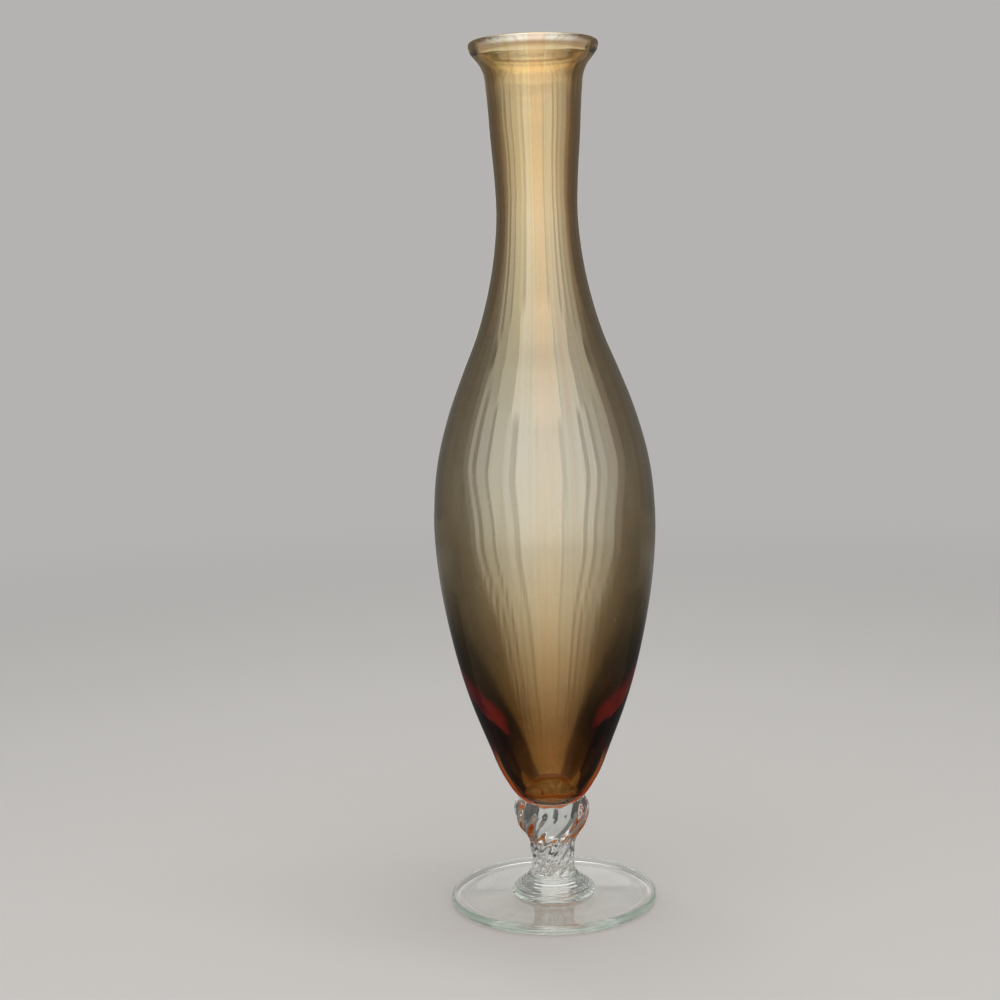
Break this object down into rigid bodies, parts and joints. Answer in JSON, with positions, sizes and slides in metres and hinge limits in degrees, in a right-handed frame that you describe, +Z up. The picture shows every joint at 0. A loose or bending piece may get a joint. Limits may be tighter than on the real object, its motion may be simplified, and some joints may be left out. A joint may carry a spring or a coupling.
{
  "type": "glass vase",
  "caption": "Tall blown-glass vase: a lustred amber bulb with a long neck and flared mouth, on a clear twisted stem with a ringed collar and a thin round foot.",
  "frame": {"origin": "middle of the foot's underside, on the plane that it stands on", "axes": "+Z up along the vase's axis; the picture looks along +Y"},
  "size_m": [0.1182, 0.1182, 0.46],
  "materials": {
    "lustred_amber_glass": "polished amber glass with a mirror-like lustre, deeper orange-red towards its thick base",
    "clear_stem_glass": "polished clear glass",
    "clear_collar_glass": "polished clear glass with fine wound rings",
    "clear_foot_glass": "polished clear glass with a faint green edge"
  },
  "bodies": {
    "root": {"vase_body": "lustred_amber_glass", "twisted_stem": "clear_stem_glass", "stem_collar": "clear_collar_glass", "foot": "clear_foot_glass"}
  },
  "joints": []
}
